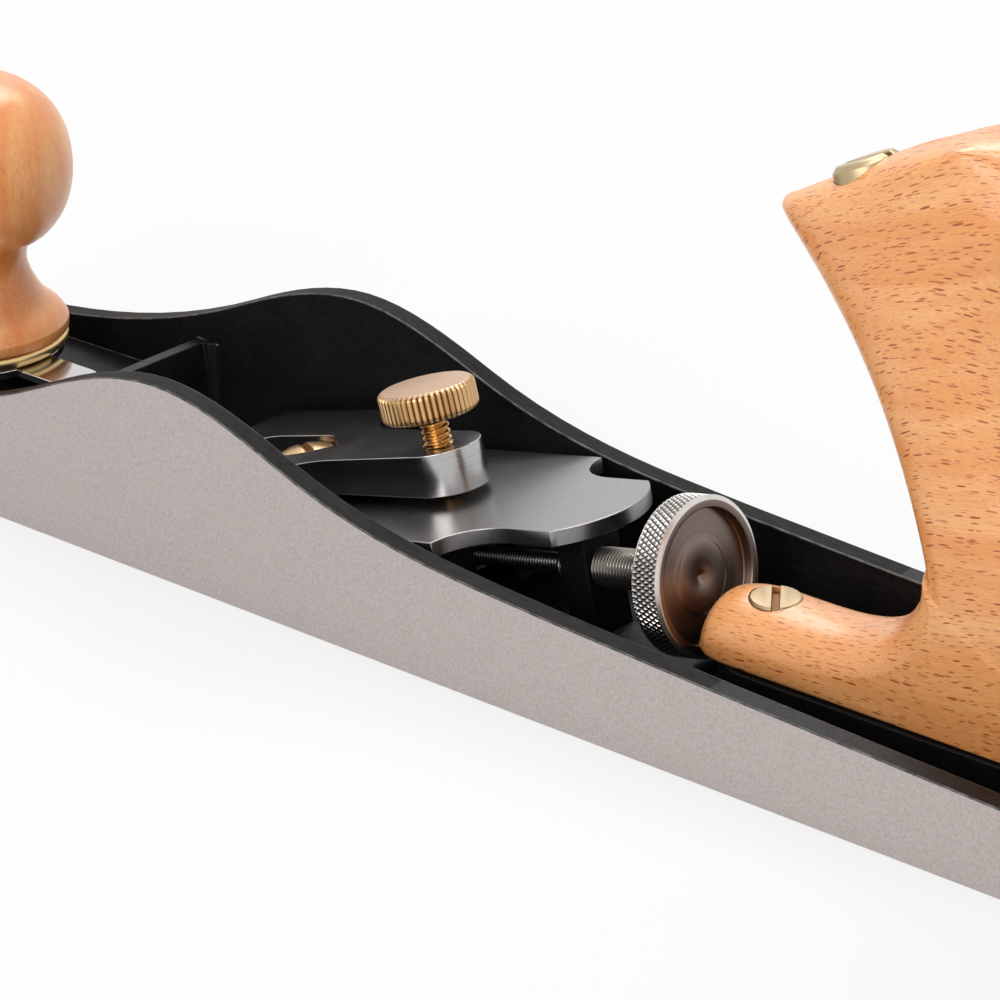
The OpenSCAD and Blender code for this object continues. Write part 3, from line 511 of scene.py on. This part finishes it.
# Turned pieces
def grid_mesh(name, rows, cap=True):
    """A tube through closed rows of points that all have the same length."""
    verts = [metres(p) for r in rows for p in r]
    n = len(rows[0])
    faces = []
    for j in range(len(rows) - 1):
        for i in range(n):
            k = (i + 1) % n
            faces.append((j * n + i, j * n + k, (j + 1) * n + k, (j + 1) * n + i))
    if cap:
        faces.append(tuple(reversed(range(n))))
        faces.append(tuple((len(rows) - 1) * n + i for i in range(n)))
    me = bpy.data.meshes.new(name)
    me.from_pydata(verts, [], faces)
    bm = bmesh.new()
    bm.from_mesh(me)
    bmesh.ops.remove_doubles(bm, verts=bm.verts, dist=1e-7)
    bmesh.ops.recalc_face_normals(bm, faces=bm.faces)
    bm.to_mesh(me)
    bm.free()
    return me


def axis_frame(origin, z, x=(0, 1, 0)):
    """A frame at origin whose Z points along z."""
    z = Vector(z).normalized()
    y = z.cross(Vector(x)).normalized()
    return frame_matrix(y.cross(z), y, z, origin)


def ring_of(m, n, z, radius_at):
    """n points round Z at the height z; radius_at gives the radius at an angle."""
    row = []
    for i in range(n):
        a = 2 * math.pi * i / n
        r = radius_at(a)
        row.append(m @ Vector((r * math.cos(a), r * math.sin(a), z)))
    return row


def lathe(name, profile, n, m, shape=lambda r, z, a: r):
    """A mesh turned round an axis. profile is (radius, height); shape may change a radius with the angle."""
    rows = [ring_of(m, n, z, lambda a, r=r, z=z: shape(r, z, a)) for r, z in profile]
    return grid_mesh(name, rows, cap=False)


RUN_OUT = 0.6       # of a pitch, over which a thread dies away at each end


def thread(name, r, depth, pitch, z0, z1, m, hand=1, n=40, steps=8):
    """A screw thread from z0 to z1 that runs out smoothly at both ends; steps is rings per pitch."""
    count = max(4, int((z1 - z0) / pitch * steps))
    rows = []
    for j in range(count + 1):
        z = z0 + (z1 - z0) * j / count
        ease = min(1, min(z - z0, z1 - z) / (RUN_OUT * pitch))

        def radius_at(a):
            t = (z / pitch - hand * a / (2 * math.pi)) % 1
            crest = min(1, max(0, (abs(t - 0.5) * 2 - 0.12) / 0.76))
            return r - depth * (1 - crest * ease)

        rows.append(ring_of(m, n, z, radius_at))
    return grid_mesh(name, rows)


def join_meshes(name, meshes):
    """One mesh from several, each with its own material."""
    bm = bmesh.new()
    for k, me in enumerate(meshes):
        start = len(bm.faces)
        bm.from_mesh(me)
        bm.faces.ensure_lookup_table()
        for f in bm.faces[start:]:
            f.material_index = k
    out = bpy.data.meshes.new(name)
    bm.to_mesh(out)
    bm.free()
    return out


def curve(points, n):
    """A smooth open curve through points, with n steps between each two."""
    out = []
    last = len(points) - 1
    for i in range(last):
        p = [Vector(points[max(0, min(last, k))]) for k in (i - 1, i, i + 1, i + 2)]
        for j in range(n):
            t = j / n
            out.append(tuple(0.5 * ((2 * p[1]) + (p[2] - p[0]) * t + (2 * p[0] - 5 * p[1] + 4 * p[2] - p[3]) * t * t
                             + (3 * p[1] - p[0] - 3 * p[2] + p[3]) * t ** 3)))
    return out + [tuple(points[-1])]


# Thumb screw
TEETH = 50
TOOTH_DEPTH = 0.5
THUMB_EDGE = 9.1        # the teeth are cut outside this radius
THUMB_KNURL = (6.1, 12.0)
thumb = axis_frame(THUMB_AT, THUMB_AXIS)


def straight_knurl(r, z, a):
    if r < THUMB_EDGE:
        return r
    t = (a * TEETH / (2 * math.pi)) % 1
    groove = max(0, 1 - abs(t - 0.5) * 2 / 0.52)
    ends = min(1, max(0, min(z - THUMB_KNURL[0], THUMB_KNURL[1] - z) / 0.3))
    return r - TOOTH_DEPTH * math.sin(groove * math.pi / 2) ** 1.3 * ends


head = [(0, 6.02), (3, 6.02), (8.2, 6.02), (8.8, 6.12), (9.3, 6.4), (9.55, 6.75), (9.64, 7.2), (9.66, 7.8),
        (9.66, 8.8), (9.66, 9.8), (9.66, 10.6), (9.64, 11.1), (9.58, 11.4), (9.4, 11.65)]
crown = [(9.4, 11.65), (9.15, 11.88), (8.85, 12.06), (8.6, 12.1), (0, 12.1)]
tip = [(2.3, -8.55), (2.3, -9.4), (1.6, -9.85), (0, -9.93)]
thumb_parts = [lathe("thumb_head", head, TEETH * 10, thumb, straight_knurl),
               thread("thumb_stem", 2.9, 0.5, 1.25, -8.6, 6.05, thumb, n=48, steps=14),
               lathe("thumb_tip", tip, 48, thumb),
               lathe("thumb_top", crown, TEETH * 10, thumb, straight_knurl)]
place(join_meshes("thumb_screw", thumb_parts), "thumb_screw", [BRASS_KNURL, BRASS, BRASS, BRASS_MATTE], 30)

# Adjuster wheel and its screw: Z runs back along the axis from the wheel's rear face
LINES = 84
DIAMOND_DEPTH = 0.36
WHEEL_EDGE = 15.0       # the knurl is cut outside this radius
WHEEL_KNURL = (-6.02, -0.42)
wheel = axis_frame(WHEEL_AT, BED_AXIS)


def diamond_knurl(r, z, a):
    front, rear = WHEEL_KNURL
    if r < WHEEL_EDGE or z < front or z > rear:
        return r
    ends = min(1, min(z - front, rear - z) / 0.3)
    turn = 0.62 * z / 15.2
    p = abs((a + turn) * LINES / (2 * math.pi) % 1 - 0.5) * 2
    q = abs((a - turn) * LINES / (2 * math.pi) % 1 - 0.5) * 2
    cut = 1 - min(1, 1.5 * min(p, q))
    return r - DIAMOND_DEPTH * max(cut, 0.35 * (1 - p * q)) * ends


rim = [(0, -6.4), (3.2, -6.4), (14.2, -6.4), (14.8, -6.32), (15.1, -6.02)]
rim += [(15.27, -5.9 + 0.12 * i) for i in range(46)]
chamfer = [(15.27, -0.5), (15.1, -0.42), (14.72, -0.1), (14.55, 0), (14.3, 0)]
dish = [(14.3, 0), (13.15, 0), (12.98, -0.06), (12.9, -0.2), (12.86, -1.8),
        (12.7, -2.0), (9.5, -2.0), (7.9, -2.0), (7.4, -1.96), (7.0, -1.78), (6.7, -1.62), (6.3, -1.56), (4, -1.7),
        (1.4, -1.84), (1.25, -1.9), (0.6, -2.4), (0, -2.75)]
wheel_parts = [lathe("wheel_rim", rim + chamfer[:1], LINES * 8, wheel, diamond_knurl),
               lathe("wheel_dish", dish, LINES * 2, wheel),
               lathe("wheel_chamfer", chamfer, LINES * 2, wheel)]
place(join_meshes("wheel", wheel_parts), "adjuster_wheel", [KNURL, WHEEL, CHAMFER], 34)

spigot = [(0, -6.52), (2.9, -6.52), (2.9, -3.45), (0, -3.42)]
screw_parts = [lathe("spigot", spigot, 40, wheel),
               thread("shank", 3.98, 0.34, 0.75, -34, -6.5, wheel, 1, 48, 10),
               thread("rod", 1.98, 0.3, 0.7, -68.8, -33.9, wheel, -1, 32, 8)]
place(join_meshes("adjuster_screw", screw_parts), "adjuster_screw", [WHEEL, SHANK, ROD], 30)

# Front knob, its brass ring and stud
KNOB_FOOT = 22.62       # height of the knob's foot over the sole
STUD_TOP = 31.3         # height of the stud over the knob's foot
knob = axis_frame((KNOB_X, 0, 0), UP, (1, 0, 0))
bore = [(0.0, 34.2), (6.52, 34.2), (6.52, 0.0)]
foot = [(20.1, 0.0), (20.35, 0.12), (20.45, 0.4), (20.48, 1.2), (20.48, 2.0), (20.42, 2.35), (20.2, 2.6)]
body = curve([(20.2, 2.6), (19.7, 3.5), (18.7, 4.7), (17.3, 5.9), (15.9, 7.3), (14.8, 8.9), (13.9, 10.6), (13.05, 12.5),
              (12.4, 14.8), (12.3, 16.6), (12.6, 18.2), (13.2, 19.4), (14.9, 20.9), (17.9, 22.9), (20.4, 25.8),
              (22.1, 29.0), (23.2, 33.0), (23.55, 37.0), (23.2, 41.5), (22.0, 45.8), (19.6, 49.9), (16.0, 53.3),
              (11.5, 55.6), (6.0, 56.8), (0.0, 56.98)], 4)
knob_profile = [(max(0, r), z + KNOB_FOOT) for r, z in bore + foot + body[1:]]
place(lathe("knob", knob_profile, 128, knob), "front_knob", [BEECH_KNOB], 40)

bead = [(18.45 + 1.8 * math.cos(a), 20.9 + 1.66 * math.sin(a)) for a in map(math.radians, range(-80, 81, 8))]
ring = [(4.06, 19.2), (18.6, 19.2)] + bead + [(18.6, 22.6), (4.06, 22.6), (4.06, 19.2)]
place(lathe("ring", ring, 128, knob), "knob_ring", [RING_BRASS], 40)

stud_parts = [lathe("stud_foot", [(0, 1.02), (4, 1.02), (4, 19.2)], 40, knob),
              thread("stud_top", 3.98, 0.5, 1.25, 19.1, KNOB_FOOT + STUD_TOP, knob, steps=10)]
place(join_meshes("knob_stud", stud_parts), "knob_stud", [DULL, DULL], 30)

# Handle: the source's own curves, drawn finely. A point is (X, Z)
TOE, HEEL = 67.6, 168.0     # the ends of its foot
PLAT = 12.2                 # height of the platform that it stands on
TALL, WIDE = 107.3, 23.0
THROAT = 29.3               # height of the throat between its toe and its grip
CROWN = 14                  # height of its crown's rounded part
SWEEPS = 14                 # of the smoothing between its rings


def bezier(a, b, c, d, n):
    a, b, c, d = [Vector(p) for p in (a, b, c, d)]
    return [a * (1 - t) ** 3 + b * 3 * t * (1 - t) ** 2 + c * 3 * t * t * (1 - t) + d * t ** 3
            for t in [i / n for i in range(n + 1)]]


def up(x, z):
    """A point from the foot's front end."""
    return (TOE + x, PLAT + z)


front_curve = (bezier(up(0, 4.3), up(0, 9.2), up(2.6, 11.1), up(11.3, 11), 5)
               + bezier(up(20, 10.6), up(38, 9.4), up(47, 18), up(46.3, 28.8), 7)
               + bezier(up(46.2, 32.3), up(39.8, 51.3), up(29.8, 69.3), up(13.4, TALL - 22.4), 7)
               + bezier(up(12.5, TALL - 21.2), up(11.5, TALL - 20.1), up(12.4, TALL - 19.2), up(15.8, TALL - 17.7), 3)
               + bezier(up(20, TALL - 15.4), up(30, TALL - 10.6), up(40, TALL - 3), up(52, TALL), 4))
back_curve = ([up(1.2 + 0.42 * i * i, 0) for i in range(6)]
              + [up(12 + (HEEL - TOE - 12) * i / 8, 0) for i in range(1, 9)]
              + bezier((HEEL - 0.6, PLAT + 4.3), (HEEL - 4, PLAT + 21.3), up(66, 61.3), up(76.6, TALL - 25), 7)
              + bezier(up(80.5, TALL - 20), up(84.5, TALL - 16.6), up(91, TALL - 14), up(90.6, TALL - 10), 3)
              + bezier(up(87.4, TALL - 6.8), up(80, TALL - 5), up(68, TALL - 0.4), up(60, TALL), 4))
front_curve, back_curve = [[Vector(p) for p in curve(c, 4)] for c in (front_curve, back_curve)]


def handle_ring(f, b, n=14):
    """One ring round the handle between a front and a back point. bow and aft are how far its rounded front
    and back reach, and half is its half width. Along the foot its back edge is only eased."""
    on_foot = b[1] <= PLAT + 0.4
    length = (b - f).length
    if f[1] < PLAT + THROAT:
        bow = min(7.5, 0.7 * (f[1] - PLAT) + 1.5)
    else:
        bow = TOE + 55.5 - 0.1 * (f[1] - PLAT - 35.7) - f[0]
    aft = 0 if on_foot else min(28, 0.6 * (b[1] - PLAT))
    if f[1] > PLAT + TALL - CROWN:
        bow, aft = max(bow, 0.35 * length), min(aft, 0.55 * length)
    k = min(1, length / (bow + aft))
    toe = min(1, (f[0] - TOE + 2.5) / (WIDE / 2 - 1.5))
    crown = min(1, max(0, PLAT + TALL - f[1]) / 4)
    half = (WIDE / 2 - 4 * (1 - math.sqrt(1 - (1 - crown) ** 2))) * math.sqrt(max(0, 1 - (1 - toe) ** 2.6))
    side = []
    for i in range(n + 1):
        t = math.pi / 2 * i / n
        side.append((k * bow * (1 - math.cos(t)), half * (0.88 * math.sin(t) + 0.12 * (1 - math.cos(t)))))
    for i in range(n, -1, -1):
        t = math.pi / 2 * i / n
        if on_foot:
            ease = min(1.3, 0.3 * length, 0.5 * half)
            side.append((length - ease * (1 - math.cos(t)), half - ease + ease * math.sin(t)))
        else:
            side.append((length - k * aft * (1 - math.cos(t)), half * (0.55 * math.sin(t) + 0.45 * (1 - math.cos(t)))))
    side.append((length, 0))
    out = []
    for d, y in side + [(d, -y) for d, y in reversed(side[1:-1])]:
        p = f + (b - f) * (d / length)
        out.append((p[0], y, p[1]))
    return out


def smooth_rings(rows):
    """Smooths the handle from ring to ring, but not its outline, its toe, its heel and its crown."""
    front, rear = 0, len(rows[0]) // 2
    for sweep in range(SWEEPS):
        old = [list(r) for r in rows]
        for j in range(12, len(rows) - 3):
            if back_curve[j][0] > HEEL - 14 and back_curve[j][1] < PLAT + 18:
                continue
            for i in range(len(rows[0])):
                if i not in (front, rear):
                    rows[j][i] = tuple((p + 2 * q + r) / 4 for p, q, r in zip(old[j - 1][i], old[j][i], old[j + 1][i]))


def sink(mesh, label, origin, axis, r, depth):
    """The mesh with a round seat cut into it, as deep as this under its origin."""
    tool = lathe(label, [(0, -depth), (r, -depth), (r, 12), (0, 12)], 96, axis_frame(origin, axis))
    cutter = bpy.data.objects.new(label, tool)
    scene.collection.objects.link(cutter)
    work = bpy.data.objects.new("handle_work", mesh)
    scene.collection.objects.link(work)
    cut = work.modifiers.new("cut", "BOOLEAN")
    cut.operation = "DIFFERENCE"
    cut.solver = "EXACT"
    cut.object = cutter
    done = bpy.data.meshes.new_from_object(work.evaluated_get(bpy.context.evaluated_depsgraph_get()))
    bpy.data.objects.remove(work)
    bpy.data.objects.remove(cutter)
    return done


handle_rows = [handle_ring(f, b) for f, b in zip(front_curve, back_curve)]
smooth_rings(handle_rows)
handle = grid_mesh("handle", handle_rows)
handle = sink(handle, "nut_seat", NUT_AT, ROD_AXIS, 6.12, 9)
handle = sink(handle, "screw_seat", (TOE_SCREW_X, 0, 40), UP, 5.03, 19.4)
place(handle, "tote", [BEECH_TOTE], 42)

# Floor, world and lamps; their lengths are in metres
FLOOR_HALF = 6
SKY_LIGHT = 0.42        # the world's light, where it isn't seen itself

floor_mesh = bpy.data.meshes.new("floor")
floor_mesh.from_pydata([(FLOOR_HALF * a, FLOOR_HALF * b, 0) for a, b in ((-1, -1), (1, -1), (1, 1), (-1, 1))],
                       [], [(0, 1, 2, 3)])
floor = bpy.data.objects.new("floor", floor_mesh)
scene.collection.objects.link(floor)
paper = Graph("floor")
seen = paper.showing()
plain = paper.node("BsdfDiffuse", {"Color": (0.8, 0.8, 0.8, 1)}).outputs[0]
glow = paper.node("Emission", {"Color": (1, 1, 1, 1), "Strength": 1.0}).outputs[0]
white = paper.node("MixShader", {0: 0.7, 1: plain, 2: glow}).outputs[0]
shown = paper.node("MixShader", {0: seen, 1: plain, 2: white}).outputs[0]
paper.tree.links.new(shown, paper.tree.nodes["Material Output"].inputs["Surface"])
floor_mesh.materials.append(paper.mat)

world = bpy.data.worlds.new("studio")
world.use_nodes = True
scene.world = world
sky = Nodes(world.node_tree)
background = sky.tree.nodes["Background"]
background.inputs["Color"].default_value = (1, 1, 1, 1)
sky.feed(background.inputs["Strength"], sky.fade(sky.showing(), 0, 1, SKY_LIGHT, 1))


def lamp(name, at, aim, size, power):
    data = bpy.data.lights.new(name, "AREA")
    data.shape = "RECTANGLE"
    data.size, data.size_y = size
    data.energy = power
    o = bpy.data.objects.new(name, data)
    o.location = at
    o.rotation_euler = (Vector(aim) - Vector(at)).to_track_quat("-Z", "Y").to_euler()
    scene.collection.objects.link(o)


lamp("key", (-0.7, 0.9, 1.3), (0, 0, 0.03), (0.9, 0.9), 13)
lamp("front", (0.3, -1.6, 0.8), (0, 0, 0.03), (1.2, 0.8), 13)
lamp("top", (0.1, 0.0, 1.6), (0, 0, 0), (0.8, 0.5), 8)
